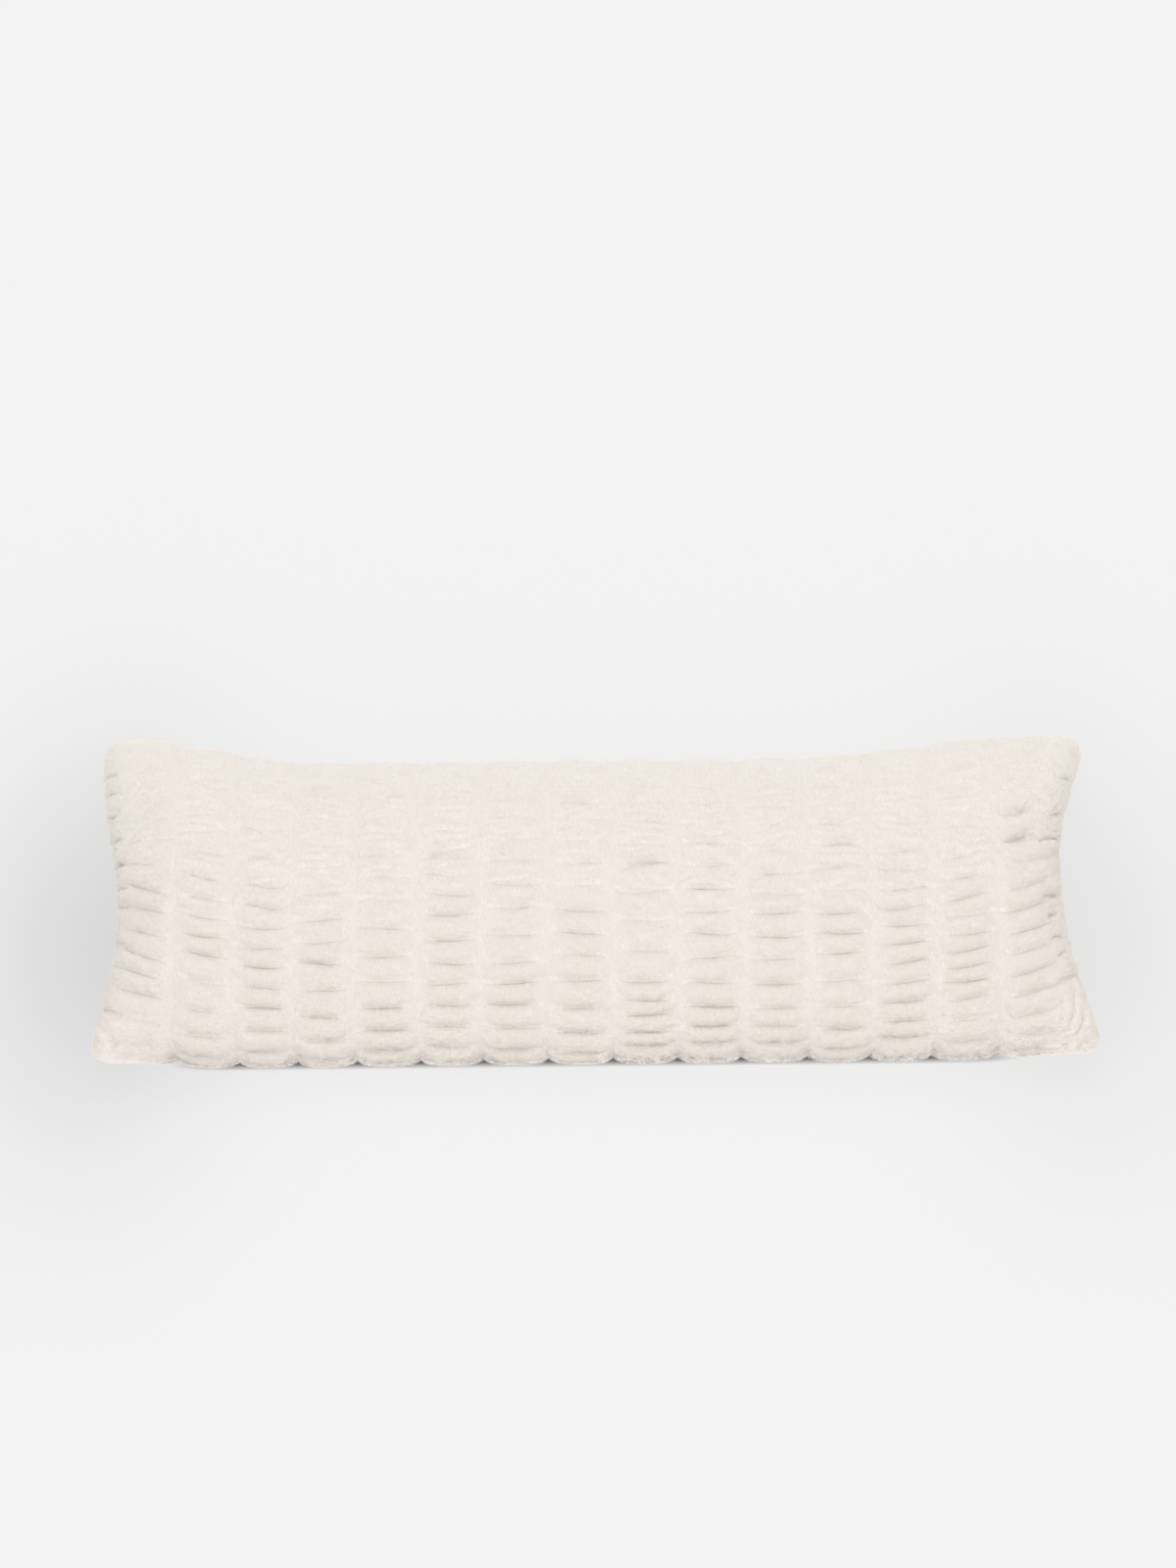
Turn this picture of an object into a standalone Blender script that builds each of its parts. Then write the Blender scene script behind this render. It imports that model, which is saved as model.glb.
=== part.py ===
"""A body pillow: one stuffed cover with a shirred front, as one closed solid.

A front panel and a plain back panel are sewn together round the edge. The front is gathered on
straight elastic lines that run across it, and between two lines the cloth stands up in a column of
soft cross rolls. The stuffing crowns it, and the seam draws its ends and its upper edge in between
the corners. It lies on its back: +X runs along its length, +Y to its upper edge, +Z out of its front.
"""

import math
from collections import namedtuple

import bmesh
import bpy
import numpy as np

# Whole size, in metres
LENGTH = 1.172
WIDTH = 0.400
THICKNESS = 0.140

# Outline, seen from the front
CORNER_RADIUS = 0.024
LEFT_DRAW_IN = 0.022
RIGHT_DRAW_IN = 0.034
LEFT_WAIST_Y = -0.025
RIGHT_WAIST_Y = 0.012
FOLLOW_FROM = 0.70  # share of the half length past which the lines lean with the ends
UPPER_SAG = 0.031
SAG_HALF = 0.335
SAG_FADE = 0.205
LOWER_LIFT = 0.007
LIFT_HALF = 0.430
LIFT_FADE = 0.125

# Filling
SEAM_HEIGHT = 0.052
ROLL_HEIGHT_LOWER = 0.0075
ROLL_HEIGHT_UPPER = 0.0040
END_CROWN = 0.130  # the front reaches its full height this far from an end
CROWN_BLEND = 2.0

# Rolls
ROLLS = 16
END_LIFT_LEFT = 0.030
END_LIFT_RIGHT = 0.022
END_LIFT_REACH = 0.052
SMILE = 0.0025
UNEVEN = 0.0016
ROLL_END_POWER = 5.0
ROLL_STEPS = (0.0, 0.15, 0.5, 0.85)
COLUMN_STEPS = (0.0, 0.09, 0.5, 0.91)

# A column of rolls: where its right-hand line crosses the middle, and how far up the cloth from the
# lower seam its first, fifth and tenth creases lie
Column = namedtuple("Column", "line first fifth tenth")
COLUMNS = (
    Column(-0.4875, 0.037, 0.139, 0.264),
    Column(-0.4174, 0.020, 0.141, 0.255),
    Column(-0.3491, 0.029, 0.131, 0.258),
    Column(-0.2798, 0.014, 0.135, 0.275),
    Column(-0.2053, 0.028, 0.142, 0.290),
    Column(-0.1320, 0.034, 0.133, 0.262),
    Column(-0.0563, 0.028, 0.134, 0.275),
    Column(0.0194, 0.022, 0.142, 0.278),
    Column(0.0951, 0.035, 0.116, 0.268),
    Column(0.1690, 0.036, 0.138, 0.265),
    Column(0.2462, 0.035, 0.134, 0.259),
    Column(0.3181, 0.025, 0.141, 0.268),
    Column(0.3917, 0.040, 0.127, 0.242),
    Column(0.4655, 0.033, 0.121, 0.230),
    Column(LENGTH / 2, 0.016, 0.115, 0.232),
)

# A ring round the back panel, from the seam down: its height, how far it lies in from the widest
# outline along the sides and at the ends, and how round its corners are
Ring = namedtuple("Ring", "height side end corner")
SEAM = Ring(SEAM_HEIGHT, 0.006, 0.009, CORNER_RADIUS)
BACK_RINGS = (
    Ring(0.043, 0.004, 0.000, CORNER_RADIUS),
    Ring(0.026, 0.007, 0.004, 0.030),
    Ring(0.011, 0.024, 0.020, 0.042),
    Ring(0.002, 0.056, 0.050, 0.062),
    Ring(0.000, 0.095, 0.084, 0.080),
)

COVER_COLOUR = (0.80, 0.745, 0.695, 1.0)
COVER_ROUGHNESS = 0.95


def fade(value, start, reach):
    """0 up to start, rising smoothly to 1 over reach."""
    step = np.clip((value - start) / reach, 0.0, 1.0)
    return step * step * (3.0 - 2.0 * step)


def upper_edge(x):
    return WIDTH / 2 - UPPER_SAG * (1.0 - fade(np.abs(x), SAG_HALF, SAG_FADE))


def lower_edge(x):
    return -WIDTH / 2 + LOWER_LIFT * fade(np.abs(x), LIFT_HALF, LIFT_FADE)


def draw_in(along, y):
    """How far the end is drawn in at this height, the most at its waist and nothing at its corners."""
    left = along < 0.0
    waist = np.where(left, LEFT_WAIST_Y, RIGHT_WAIST_Y)
    depth = np.where(left, LEFT_DRAW_IN, RIGHT_DRAW_IN)
    reach = np.where(y > waist, WIDTH / 2 - waist, WIDTH / 2 + waist)
    bow = np.cos(np.clip((y - waist) / reach, -1.0, 1.0) * math.pi / 2)
    follow = np.clip((np.abs(along) - FOLLOW_FROM) / (1.0 - FOLLOW_FROM), 0.0, 1.0) ** 2
    return depth * bow * follow


def plan(along, across, ring):
    """Places a point in plan: along runs from -1 to 1 over the length, across from 0 to 1 upwards."""
    end = LENGTH / 2 - ring.end
    x = along * end
    low = lower_edge(x) + ring.side
    high = upper_edge(x) - ring.side
    y = low + across * (high - low)
    inwards = np.where(y > (low + high) / 2, high - y, y - low)
    near_end = np.clip(1.0 - (end - np.abs(x)) / ring.corner, 0.0, 1.0)
    near_side = np.clip(1.0 - inwards / ring.corner, 0.0, 1.0)
    cut_x = ring.corner * near_end * (1.0 - np.sqrt(1.0 - near_side**2 / 2))
    cut_y = ring.corner * near_side * (1.0 - np.sqrt(1.0 - near_end**2 / 2))
    x = x - np.sign(along) * (cut_x + draw_in(along, y))
    y = y - np.sign(across - 0.5) * cut_y
    return x, y


def arc_table(steps=2000):
    """Angles round the front's middle section, and how much cloth lies below each."""
    angle = np.linspace(0.0, math.pi, steps + 1)
    half_width = WIDTH / 2 - SEAM.side - UPPER_SAG / 2
    y = -half_width * np.cos(angle)
    z = (THICKNESS - SEAM_HEIGHT - ROLL_HEIGHT_LOWER) * np.sin(angle)
    cloth = np.concatenate([[0.0], np.cumsum(np.hypot(np.diff(y), np.diff(z)))])
    return angle, cloth


ARC_ANGLE, ARC_CLOTH = arc_table()
ARC = ARC_CLOTH[-1]


def crown(along, cloth):
    """A point of the front before it is shirred: along the length, and up the cloth from the lower seam."""
    angle = np.interp(cloth, ARC_CLOTH, ARC_ANGLE)
    x, y = plan(along, (1.0 - np.cos(angle)) / 2, SEAM)
    rise_across = np.maximum(np.sin(angle), 1e-4)
    from_end = np.clip((1.0 - np.abs(along)) * LENGTH / 2 / END_CROWN, 0.0, 1.0)
    rise_along = np.maximum(np.sqrt(1.0 - (1.0 - from_end) ** 2), 1e-4)
    both = rise_across**-CROWN_BLEND + rise_along**-CROWN_BLEND - 1.0
    full = THICKNESS - SEAM_HEIGHT - (ROLL_HEIGHT_LOWER + ROLL_HEIGHT_UPPER) / 2
    z = SEAM_HEIGHT + full * both ** (-1.0 / CROWN_BLEND)
    return np.stack([x, y, z], axis=-1)


def outward(along, cloth, step=0.002):
    """The unit normal of the crown, from points a little way off on both sides."""
    along_step = step / (LENGTH / 2)
    left = crown(np.maximum(along - along_step, -1.0), cloth)
    right = crown(np.minimum(along + along_step, 1.0), cloth)
    below = crown(along, np.maximum(cloth - step, 0.0))
    above = crown(along, np.minimum(cloth + step, ARC))
    normal = np.cross(right - left, above - below)
    return normal / np.linalg.norm(normal, axis=-1, keepdims=True)


def crease_table():
    """How far up the cloth each column's creases lie, from the lower seam to the upper one."""
    rng = np.random.default_rng(7)
    rows = []
    for column in COLUMNS:
        known = (0, 1, 5, 10, ROLLS)
        cloth = (0.0, column.first, column.fifth, column.tenth, ARC)
        row = np.interp(np.arange(ROLLS + 1), known, cloth)
        row[2:-1] += rng.uniform(-UNEVEN, UNEVEN, ROLLS - 2)
        rows.append(row)
    return np.array(rows)


CREASES = crease_table()
LINES = np.array([-LENGTH / 2] + [column.line for column in COLUMNS]) / (LENGTH / 2)


def cloth_at(columns, rolls):
    """How far up the cloth a point lies, counted in columns and rolls, both with fractions."""
    column = np.minimum(columns.astype(int), len(COLUMNS) - 1)
    part = columns - column
    own = np.array([np.interp(r, np.arange(ROLLS + 1), CREASES[c]) for c, r in zip(column, rolls)])
    beside = np.where(part < 0.5, column - 1, column + 1).clip(0, len(COLUMNS) - 1)
    other = np.array([np.interp(r, np.arange(ROLLS + 1), CREASES[c]) for c, r in zip(beside, rolls)])
    on_line = np.minimum(part, 1.0 - part) < min(COLUMN_STEPS[1:]) / 2
    cloth = np.where(on_line, (own + other) / 2, own)

    share = cloth / ARC
    inside = np.sin(math.pi * np.clip(share, 0.0, 1.0))
    cloth = cloth - SMILE * 4.0 * part * (1.0 - part) * inside
    along = np.interp(columns, np.arange(len(LINES)), LINES)
    from_end = (1.0 - np.abs(along)) * LENGTH / 2
    left_lift = END_LIFT_LEFT * fade(share, 0.0, 0.25) * (1.0 - fade(share, 0.30, 0.55))
    right_lift = END_LIFT_RIGHT * fade(share, 0.0, 0.25) * (1.0 - fade(share, 0.75, 0.25))
    lift = np.where(along < 0.0, left_lift, right_lift)
    return cloth + lift * np.exp(-from_end / END_LIFT_REACH)


def roll_height(columns, rolls, cloth):
    """How far the cloth stands out: nothing on a line or in a crease, the most inside a roll."""
    across_roll = rolls - np.floor(rolls)
    across_column = columns - np.floor(columns)
    round_top = np.sqrt(1.0 - (2.0 * across_roll - 1.0) ** 2)
    round_end = np.sqrt(1.0 - np.abs(2.0 * across_column - 1.0) ** ROLL_END_POWER)
    height = ROLL_HEIGHT_LOWER + (ROLL_HEIGHT_UPPER - ROLL_HEIGHT_LOWER) * cloth / ARC
    return height * round_top * round_end


def counting_sheet():
    """The cover's faces in counting units: x counts columns, y counts rolls, -z counts back rings."""
    bm = bmesh.new()
    across = len(COLUMNS) * len(COLUMN_STEPS)
    upwards = ROLLS * len(ROLL_STEPS)
    bmesh.ops.create_grid(bm, x_segments=across, y_segments=upwards, size=1.0)
    for vert in bm.verts:
        column, part = divmod(round((vert.co.x + 1.0) / 2 * across), len(COLUMN_STEPS))
        roll, step = divmod(round((vert.co.y + 1.0) / 2 * upwards), len(ROLL_STEPS))
        vert.co.x = column + COLUMN_STEPS[part]
        vert.co.y = roll + ROLL_STEPS[step]

    rim = [edge for edge in bm.edges if edge.is_boundary]
    for _ in BACK_RINGS:
        made = bmesh.ops.extrude_edge_only(bm, edges=rim)["geom"]
        rim = [item for item in made if isinstance(item, bmesh.types.BMEdge) and item.is_boundary]
        for vert in {vert for edge in rim for vert in edge.verts}:
            vert.co.z -= 1.0
    bmesh.ops.contextual_create(bm, geom=rim)
    return bm


def shaped(columns, rolls, rings):
    """The real places of points given in counting units."""
    along = np.interp(columns, np.arange(len(LINES)), LINES)
    cloth = cloth_at(columns, rolls)
    places = crown(along, cloth)
    front = rings == 0
    height = roll_height(columns, rolls, cloth)[:, None]
    places[front] += (outward(along, cloth) * height)[front]

    angle = np.interp(cloth, ARC_CLOTH, ARC_ANGLE)
    across = (1.0 - np.cos(angle)) / 2
    for number, ring in enumerate(BACK_RINGS, start=1):
        here = rings == number
        x, y = plan(along[here], across[here], ring)
        places[here] = np.stack([x, y, np.full_like(x, ring.height)], axis=-1)
    return places


def cover_material():
    material = bpy.data.materials.new("short_pile_cloth")
    material.use_nodes = True
    shader = material.node_tree.nodes["Principled BSDF"]
    shader.inputs["Base Color"].default_value = COVER_COLOUR
    shader.inputs["Roughness"].default_value = COVER_ROUGHNESS
    shader.inputs["Metallic"].default_value = 0.0
    return material


def body_pillow():
    """The stuffed cover, trued to its whole size, centred, with its back on the ground."""
    bm = counting_sheet()
    counted = np.array([vert.co for vert in bm.verts])
    places = shaped(counted[:, 0], counted[:, 1], np.rint(-counted[:, 2]).astype(int))
    low, high = places.min(axis=0), places.max(axis=0)
    places[:, :2] -= (low + high)[:2] / 2
    places *= np.array([LENGTH, WIDTH, THICKNESS]) / (high - low)
    for vert, place in zip(bm.verts, places):
        vert.co = place
    bmesh.ops.recalc_face_normals(bm, faces=bm.faces)

    mesh = bpy.data.meshes.new("body_pillow")
    bm.to_mesh(mesh)
    bm.free()
    mesh.shade_smooth()
    mesh.materials.append(cover_material())
    pillow = bpy.data.objects.new("body_pillow", mesh)
    bpy.context.scene.collection.objects.link(pillow)
    size = places.max(axis=0) - places.min(axis=0)
    print("body_pillow", [round(float(side), 4) for side in size], len(mesh.polygons), "faces")
    return pillow


for leftover in list(bpy.data.objects):
    bpy.data.objects.remove(leftover, do_unlink=True)
body_pillow()
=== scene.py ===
# %% [markdown]
# # A shirred body pillow in short-pile cloth
# The frame gives the pillow as a plain faceted solid. This lesson dresses it: a finer stuffed cover
# takes the solid's place, and a coat of short pile grows on the cover. Everything is in metres, and
# the pillow lies on its back with +Z out of its front.

# %% Load the frame
import math
from collections import namedtuple

import bmesh
import bpy
import numpy as np
from mathutils import Matrix, Vector, noise


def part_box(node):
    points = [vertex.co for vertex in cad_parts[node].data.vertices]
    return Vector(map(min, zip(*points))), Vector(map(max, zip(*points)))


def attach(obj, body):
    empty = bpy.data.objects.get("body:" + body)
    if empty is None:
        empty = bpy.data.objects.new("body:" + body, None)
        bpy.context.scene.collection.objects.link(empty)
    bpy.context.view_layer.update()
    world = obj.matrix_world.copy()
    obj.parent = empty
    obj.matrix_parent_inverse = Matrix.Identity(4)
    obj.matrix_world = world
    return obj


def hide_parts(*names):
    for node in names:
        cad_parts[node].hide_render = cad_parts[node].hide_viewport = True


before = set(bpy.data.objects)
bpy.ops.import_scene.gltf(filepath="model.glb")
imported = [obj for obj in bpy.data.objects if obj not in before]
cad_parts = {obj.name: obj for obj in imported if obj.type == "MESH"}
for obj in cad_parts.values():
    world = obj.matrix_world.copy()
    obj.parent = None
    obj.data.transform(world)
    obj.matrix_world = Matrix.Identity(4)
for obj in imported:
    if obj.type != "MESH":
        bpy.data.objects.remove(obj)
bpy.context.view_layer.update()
solid_low, solid_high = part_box("body_pillow")
solid_size = [round(high - low, 4) for low, high in zip(solid_low, solid_high)]
print("solid", solid_size, "full")

# %% [markdown]
# ## The camera
# The photograph looks at the pillow's face from a little below its normal, from three metres off
# through a long lens. A camera that is placed from what it sees is easier to check than one placed
# by eye: the aim is a point of the pillow, and its place in the picture says how far the camera
# stands off the axis. Nothing is shifted in the lens.

# %% Camera
PICTURE_WIDTH, PICTURE_HEIGHT = 1200, 1600
AIM = Vector((0.0, -0.010, 0.070))
AIM_PIXEL_X, AIM_PIXEL_Y = 607, 920
VIEW_DISTANCE = 3.0
VIEW_TILT = math.radians(17.0)  # off the face's normal, towards the lower edge
VIEW_ROLL = math.radians(0.6)
METRES_PER_PIXEL = 0.001146  # at the aim
SENSOR_HEIGHT = 36.0


def place_camera():
    """Stands the camera so that the aim falls on its pixel."""
    forward = Vector((0.0, math.sin(VIEW_TILT), -math.cos(VIEW_TILT)))
    level_up = Vector((0.0, math.cos(VIEW_TILT), math.sin(VIEW_TILT)))
    level_right = Vector((1.0, 0.0, 0.0))
    right = level_right * math.cos(VIEW_ROLL) - level_up * math.sin(VIEW_ROLL)
    up = level_right * math.sin(VIEW_ROLL) + level_up * math.cos(VIEW_ROLL)
    off_x = (AIM_PIXEL_X - PICTURE_WIDTH / 2) * METRES_PER_PIXEL
    off_y = (PICTURE_HEIGHT / 2 - AIM_PIXEL_Y) * METRES_PER_PIXEL
    place = AIM - forward * VIEW_DISTANCE - right * off_x - up * off_y

    data = bpy.data.cameras.new("camera")
    data.sensor_fit = "VERTICAL"
    data.sensor_height = SENSOR_HEIGHT
    data.lens = SENSOR_HEIGHT * VIEW_DISTANCE / (PICTURE_HEIGHT * METRES_PER_PIXEL)
    camera = bpy.data.objects.new("camera", data)
    turn = Matrix((right, up, -forward)).transposed()
    camera.matrix_world = Matrix.Translation(place) @ turn.to_4x4()
    bpy.context.scene.collection.objects.link(camera)
    bpy.context.scene.camera = camera
    return camera


camera = place_camera()
print("camera at", [round(value, 3) for value in camera.matrix_world.translation],
      "lens", round(camera.data.lens, 1))

# %% [markdown]
# ## The outline of the cover
# A stuffed cover is never a rectangle. The filling shortens it, so its ends and its upper edge bow
# inwards between the corners, which stay where they were cut. The sizes below are the solid's own,
# and every place on the cover is worked out from them, so that the dressed pillow keeps the solid's
# form.

# %% Sizes of the cover
LENGTH, WIDTH, THICKNESS = solid_size
PILE_DEPTH = 0.0035  # the skin lies this far inside the solid, and the pile fills the rest

CORNER_RADIUS = 0.024
LEFT_DRAW_IN, RIGHT_DRAW_IN = 0.022, 0.034
LEFT_WAIST_Y, RIGHT_WAIST_Y = -0.025, 0.012
LEFT_HOLLOW, RIGHT_HOLLOW = 3.5, 1.25  # above its waist an end runs straighter up
FOLLOW_FROM = 0.70
EAR, UPPER_LEFT_EAR = 0.0075, 0.0035  # the corners are the least shortened, so they stand out
EAR_FROM, EAR_FADE = 0.30, 0.65  # shares of half the width
UPPER_SAG = 0.031
LEFT_RISE, LEFT_FROM, LEFT_FADE = 0.031, 0.335, 0.205  # how the upper edge climbs to its corners
RIGHT_RISE, RIGHT_FROM, RIGHT_FADE = 0.024, 0.230, 0.280
LOWER_LIFT, LIFT_HALF, LIFT_FADE = 0.007, 0.430, 0.125
SEAM_HEIGHT = 0.052
END_CROWN = 0.130
CROWN_BLEND = 2.0

Ring = namedtuple("Ring", "height side end corner")
SEAM = Ring(SEAM_HEIGHT, 0.004, 0.004, CORNER_RADIUS)
BACK_RINGS = (
    Ring(0.047, 0.0015, 0.000, CORNER_RADIUS),
    Ring(0.040, 0.0005, -0.001, CORNER_RADIUS),
    Ring(0.029, 0.003, 0.001, 0.028),
    Ring(0.018, 0.010, 0.008, 0.036),
    Ring(0.009, 0.022, 0.019, 0.044),
    Ring(0.003, 0.042, 0.038, 0.058),
    Ring(0.000, 0.070, 0.062, 0.070),
    Ring(0.000, 0.110, 0.100, 0.085),
)


def fade(value, start, reach):
    """0 up to start, rising smoothly to 1 over reach."""
    step = np.clip((value - start) / reach, 0.0, 1.0)
    return step * step * (3.0 - 2.0 * step)


def quarter_round(share):
    """0 at 0 with an upright start, rising round to 1 at 1."""
    return np.sqrt(1.0 - (1.0 - np.clip(share, 0.0, 1.0)) ** 2)


def to_end(along):
    """How far it is to the nearer end."""
    return (1.0 - np.abs(along)) * LENGTH / 2


def upper_edge(x):
    to_left, to_right = fade(-x, LEFT_FROM, LEFT_FADE), fade(x, RIGHT_FROM, RIGHT_FADE)
    return WIDTH / 2 - UPPER_SAG + LEFT_RISE * to_left + RIGHT_RISE * to_right


def lower_edge(x):
    return -WIDTH / 2 + LOWER_LIFT * fade(np.abs(x), LIFT_HALF, LIFT_FADE)


def draw_in(along, y):
    """How far an end bows inwards at this height."""
    left = along < 0.0
    waist = np.where(left, LEFT_WAIST_Y, RIGHT_WAIST_Y)
    depth = np.where(left, LEFT_DRAW_IN, RIGHT_DRAW_IN)
    reach = np.where(y > waist, WIDTH / 2 - waist, WIDTH / 2 + waist)
    bow = np.cos(np.clip((y - waist) / reach, -1.0, 1.0) * math.pi / 2)
    hollow = np.where(left, LEFT_HOLLOW, RIGHT_HOLLOW)
    bow = bow ** np.where(y > waist, hollow, 1.0)
    ear = np.where(left & (y > 0.0), UPPER_LEFT_EAR, EAR)
    ear = ear * fade(np.abs(y) / (WIDTH / 2), EAR_FROM, EAR_FADE)
    follow = np.clip((np.abs(along) - FOLLOW_FROM) / (1.0 - FOLLOW_FROM), 0.0, 1.0) ** 2
    return (depth * bow - ear) * follow


def plan(along, across, ring):
    """A place seen from the front: along runs from -1 to 1, across from 0 to 1 upwards."""
    end = LENGTH / 2 - ring.end
    x = along * end
    low = lower_edge(x) + ring.side
    high = upper_edge(x) - ring.side
    y = low + across * (high - low)
    inwards = np.where(y > (low + high) / 2, high - y, y - low)
    near_end = np.clip(1.0 - (end - np.abs(x)) / ring.corner, 0.0, 1.0)
    near_side = np.clip(1.0 - inwards / ring.corner, 0.0, 1.0)
    cut_x = ring.corner * near_end * (1.0 - np.sqrt(1.0 - near_side**2 / 2))
    cut_y = ring.corner * near_side * (1.0 - np.sqrt(1.0 - near_end**2 / 2))
    x = x - np.sign(along) * (cut_x + draw_in(along, y))
    y = y - np.sign(across - 0.5) * cut_y
    return x, y


print("outline", LENGTH, "x", WIDTH, "waist", round(LENGTH - LEFT_DRAW_IN - RIGHT_DRAW_IN, 3))

# %% [markdown]
# ## The crown
# Seen from an end, the stuffed front is close to half an ellipse, and it comes down to the seam over
# a hand's breadth at each end. The cloth on it is measured along this curve, because the rolls are
# evenly spaced on the cloth and not in the picture.

# %% Crown
ROLL_HEIGHT_LOWER, ROLL_HEIGHT_UPPER = 0.0075, 0.0040
LEAST_RISE = 1e-4  # keeps the powers in crown() finite at the seam


def arc_table(steps=2000):
    """Angles round the middle section, and how much cloth lies below each."""
    angle = np.linspace(0.0, math.pi, steps + 1)
    half_width = WIDTH / 2 - SEAM.side - UPPER_SAG / 2
    y = -half_width * np.cos(angle)
    z = (THICKNESS - SEAM_HEIGHT - ROLL_HEIGHT_LOWER) * np.sin(angle)
    cloth = np.concatenate([[0.0], np.cumsum(np.hypot(np.diff(y), np.diff(z)))])
    return angle, cloth


ARC_ANGLE, ARC_CLOTH = arc_table()
ARC = ARC_CLOTH[-1]


def crown(along, cloth):
    """A point of the front before it is shirred."""
    angle = np.interp(cloth, ARC_CLOTH, ARC_ANGLE)
    x, y = plan(along, (1.0 - np.cos(angle)) / 2, SEAM)
    rise_across = np.maximum(np.sin(angle), LEAST_RISE)
    rise_along = np.maximum(quarter_round(to_end(along) / END_CROWN), LEAST_RISE)
    both = rise_across**-CROWN_BLEND + rise_along**-CROWN_BLEND - 1.0
    full = THICKNESS - SEAM_HEIGHT - (ROLL_HEIGHT_LOWER + ROLL_HEIGHT_UPPER) / 2
    z = SEAM_HEIGHT + full * both ** (-1.0 / CROWN_BLEND)
    return np.stack([x, y, z], axis=-1)


def outward(along, cloth, step=0.002):
    """The unit normal of the crown."""
    along_step = step / (LENGTH / 2)
    left = crown(np.maximum(along - along_step, -1.0), cloth)
    right = crown(np.minimum(along + along_step, 1.0), cloth)
    below = crown(along, np.maximum(cloth - step, 0.0))
    above = crown(along, np.minimum(cloth + step, ARC))
    normal = np.cross(right - left, above - below)
    return normal / np.linalg.norm(normal, axis=-1, keepdims=True)


print("cloth over the middle", round(ARC, 3))

# %% [markdown]
# ## Shirring
# Fourteen elastic lines are sewn straight across the front and gather it. Between two lines the
# cloth has nowhere to go but outwards, so each column is a stack of soft rolls with a thin crease
# under each. A row of the table is one column: where its right-hand line crosses the middle, how far
# up the cloth from the lower seam its odd creases lie, and how far up they stay sharp. The other
# creases stand evenly between those, a little off true as real gathers are.

# %% Columns of rolls
ROLLS = 16
UNEVEN, CREASE_SEED = 0.0012, 7

Column = namedtuple("Column", "line first third fifth seventh ninth eleventh clear")
COLUMNS = (
    Column(-0.4875, 0.037, 0.095, 0.139, 0.188, 0.238, 0.290, 0.255),
    Column(-0.4174, 0.020, 0.078, 0.141, 0.181, 0.227, 0.283, 0.220),
    Column(-0.3491, 0.029, 0.084, 0.131, 0.175, 0.224, 0.293, 0.270),
    Column(-0.2798, 0.014, 0.072, 0.135, 0.185, 0.247, 0.303, 0.215),
    Column(-0.2053, 0.028, 0.083, 0.142, 0.208, 0.262, 0.316, 0.205),
    Column(-0.1320, 0.034, 0.086, 0.133, 0.189, 0.235, 0.283, 0.240),
    Column(-0.0563, 0.028, 0.086, 0.134, 0.198, 0.254, 0.308, 0.240),
    Column(0.0194, 0.022, 0.081, 0.142, 0.193, 0.250, 0.304, 0.180),
    Column(0.0951, 0.033, 0.071, 0.109, 0.182, 0.247, 0.300, 0.240),
    Column(0.1690, 0.036, 0.081, 0.138, 0.190, 0.245, 0.297, 0.230),
    Column(0.2462, 0.035, 0.078, 0.134, 0.187, 0.234, 0.293, 0.260),
    Column(0.3181, 0.025, 0.078, 0.141, 0.187, 0.240, 0.294, 0.240),
    Column(0.3917, 0.040, 0.082, 0.127, 0.169, 0.210, 0.253, 0.255),
    Column(0.4655, 0.033, 0.085, 0.121, 0.156, 0.196, 0.242, 0.300),
    Column(LENGTH / 2, 0.016, 0.067, 0.115, 0.160, 0.210, 0.263, 0.295),
)
CREASE_NUMBERS = np.arange(ROLLS + 1)
KNOWN_CREASES = (0, 1, 3, 5, 7, 9, 11, ROLLS)  # the two seams and the table's own
LINES = np.array([-LENGTH / 2] + [column.line for column in COLUMNS]) / (LENGTH / 2)


def column_of(columns):
    """The column that a point is in."""
    return np.minimum(columns.astype(int), len(COLUMNS) - 1)


def roll_of(rolls):
    """The roll that a point is in."""
    return np.minimum(rolls.astype(int), ROLLS - 1)


# %% [markdown]
# Towards the two ends the creases leave the level. The lower corners reach further out than the
# waist, so the cloth there is pulled up and outwards, and the creases climb to the side seam. On the
# left only the lower ones do, and on the right nearly all of them.

# %% Climb at the ends
Climb = namedtuple("Climb", "height until over")  # until and over are shares of the way up
LEFT_CLIMB, RIGHT_CLIMB = Climb(0.046, 0.38, 0.26), Climb(0.052, 0.72, 0.28)
CLIMB_START = 0.16  # share of the cloth over which the climb sets in
CLIMB_REACH = 0.105  # how quickly it dies away from the end


def climb(along, share):
    """How far the pull of the end lifts the cloth at this place."""
    left, right = (
        pull.height * fade(share, 0.0, CLIMB_START) * (1.0 - fade(share, pull.until, pull.over))
        for pull in (LEFT_CLIMB, RIGHT_CLIMB)
    )
    return np.where(along < 0.0, left, right) * np.exp(-to_end(along) / CLIMB_REACH)


def before_climb(along, cloth, steps=500):
    """The place that the climb lifts to this one."""
    start = np.linspace(0.0, ARC, steps)
    return np.interp(cloth, start + climb(along, start / ARC), start)


def crease_table():
    """How far up the cloth each column's creases lie, before the ends' climb is added."""
    rng = np.random.default_rng(CREASE_SEED)
    middles = (LINES[:-1] + LINES[1:]) / 2
    rows = []
    for column, middle in zip(COLUMNS, middles):
        cloth = (0.0, *column[1:7], ARC)
        row = np.interp(CREASE_NUMBERS, KNOWN_CREASES, cloth)
        row[2:-1] += rng.uniform(-UNEVEN, UNEVEN, ROLLS - 2)
        row[1:-1] = before_climb(middle, row[1:-1])
        rows.append(np.maximum.accumulate(row))
    return np.array(rows)


CREASES = crease_table()
print("creases", CREASES.shape, "narrowest roll", round(float(np.diff(CREASES).min()), 4))

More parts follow.
